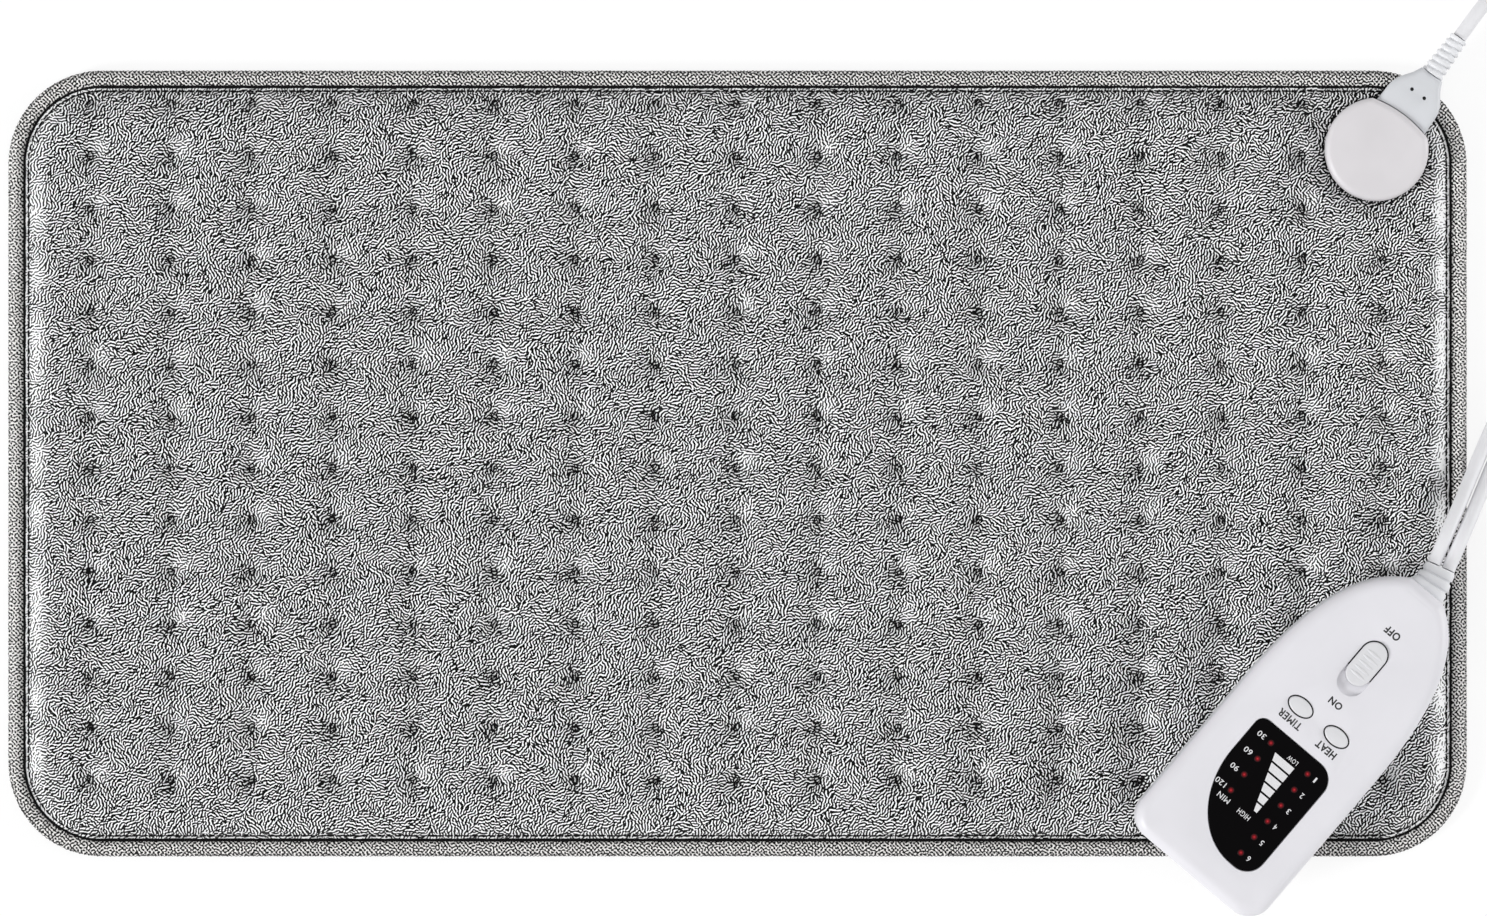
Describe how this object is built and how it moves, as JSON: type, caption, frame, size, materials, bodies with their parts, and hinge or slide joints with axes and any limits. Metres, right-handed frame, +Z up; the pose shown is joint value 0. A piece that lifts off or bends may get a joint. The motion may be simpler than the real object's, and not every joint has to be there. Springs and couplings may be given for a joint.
{
  "type": "heating pad with controller",
  "caption": "Quilted plush heating pad with ribbed edge binding, a round plug-in connector, and a corded hand controller with display, push buttons and a slide switch.",
  "frame": {"origin": "centre of the pad's underside, on the surface that it lies on", "axes": "+X along the pad's long side towards the connector and controller, +Y towards the connector's long edge, +Z up"},
  "size_m": [0.7046, 0.3988, 0.0421],
  "materials": {
    "plush": "short swirled plush nap",
    "back_cloth": "plain woven cloth",
    "binding_tape": "fine ribbed tape",
    "fleece": "loose fleece",
    "carrier_cloth": "thin non-woven cloth",
    "wire_sheath": "satin",
    "socket_plastic": "fine satin moulding",
    "shell_plastic": "fine satin moulding",
    "button_plastic": "satin",
    "white_rubber": "satin",
    "cord_sheath": "satin",
    "window_acrylic": "polished",
    "black_plastic": "satin",
    "board_laminate": "satin",
    "lamp_red": "clear red",
    "capacitor_yellow": "satin",
    "steel": "zinc plated",
    "contact_brass": "bright"
  },
  "bodies": {
    "pad_and_controller": {"quilted_top_panel": "plush", "back_panel": "back_cloth", "edge_binding": "binding_tape", "wadding_sheet": "fleece", "heater_carrier": "carrier_cloth", "heating_wire": "wire_sheath", "heater_lead_a": "wire_sheath", "heater_lead_b": "wire_sheath", "socket_housing": "socket_plastic", "controller_top_shell": "shell_plastic", "controller_bottom_shell": "shell_plastic", "controller_strain_relief": "white_rubber", "mains_plug_body": "white_rubber", "pad_lead": "cord_sheath", "mains_run": "cord_sheath", "mains_coil": "cord_sheath", "mains_tail": "cord_sheath", "mains_wire": "cord_sheath", "heater_wire": "cord_sheath", "display_window": "window_acrylic", "thermostat_near": "black_plastic", "thermostat_far": "black_plastic", "socket_clamp_plate": "black_plastic", "led_frame": "black_plastic", "timer_switch_body": "black_plastic", "heat_switch_body": "black_plastic", "storage_capacitor": "black_plastic", "power_triac": "black_plastic", "micro_chip": "black_plastic", "cord_clamp": "black_plastic", "coil_tie": "black_plastic", "circuit_board": "board_laminate", "timer_led_bar": "lamp_red", "heat_led_bar": "lamp_red", "film_capacitor": "capacitor_yellow", "socket_screw_left": "steel", "socket_screw_right": "steel", "case_screw_front_left": "steel", "case_screw_front_right": "steel", "case_screw_rear_left": "steel", "case_screw_rear_right": "steel", "clamp_screw_left": "steel", "clamp_screw_right": "steel", "slide_switch_body": "steel", "socket_pin_left": "contact_brass", "socket_pin_right": "contact_brass", "line_blade": "contact_brass", "neutral_blade": "contact_brass"},
    "connector_plug": {"plug_upper_shell": "socket_plastic", "plug_lower_shell": "socket_plastic", "plug_strain_relief": "white_rubber", "plug_contact_left": "contact_brass", "plug_contact_right": "contact_brass"},
    "power_switch": {"power_knob": "button_plastic", "knob_retainer": "steel", "slide_switch_lever": "black_plastic"},
    "timer_key": {"timer_button": "button_plastic", "timer_switch_plunger": "button_plastic"},
    "heat_key": {"heat_button": "button_plastic", "heat_switch_plunger": "button_plastic"}
  },
  "joints": [
    {"name": "plug_pull", "type": "slide", "parent": "pad_and_controller", "child": "connector_plug", "axis": [0.5948, 0.8039, 0], "range_m": [0, 0.016], "deforming": ["pad_lead"]},
    {"name": "power_slide", "type": "slide", "parent": "pad_and_controller", "child": "power_switch", "axis": [-0.6468, -0.7627, 0], "range_m": [0, 0.0047]},
    {"name": "timer_press", "type": "slide", "parent": "pad_and_controller", "child": "timer_key", "axis": [0, 0, -1], "range_m": [0, 0.0008], "stiffness_N_per_m": 600},
    {"name": "heat_press", "type": "slide", "parent": "pad_and_controller", "child": "heat_key", "axis": [0, 0, -1], "range_m": [0, 0.0008], "stiffness_N_per_m": 600}
  ]
}
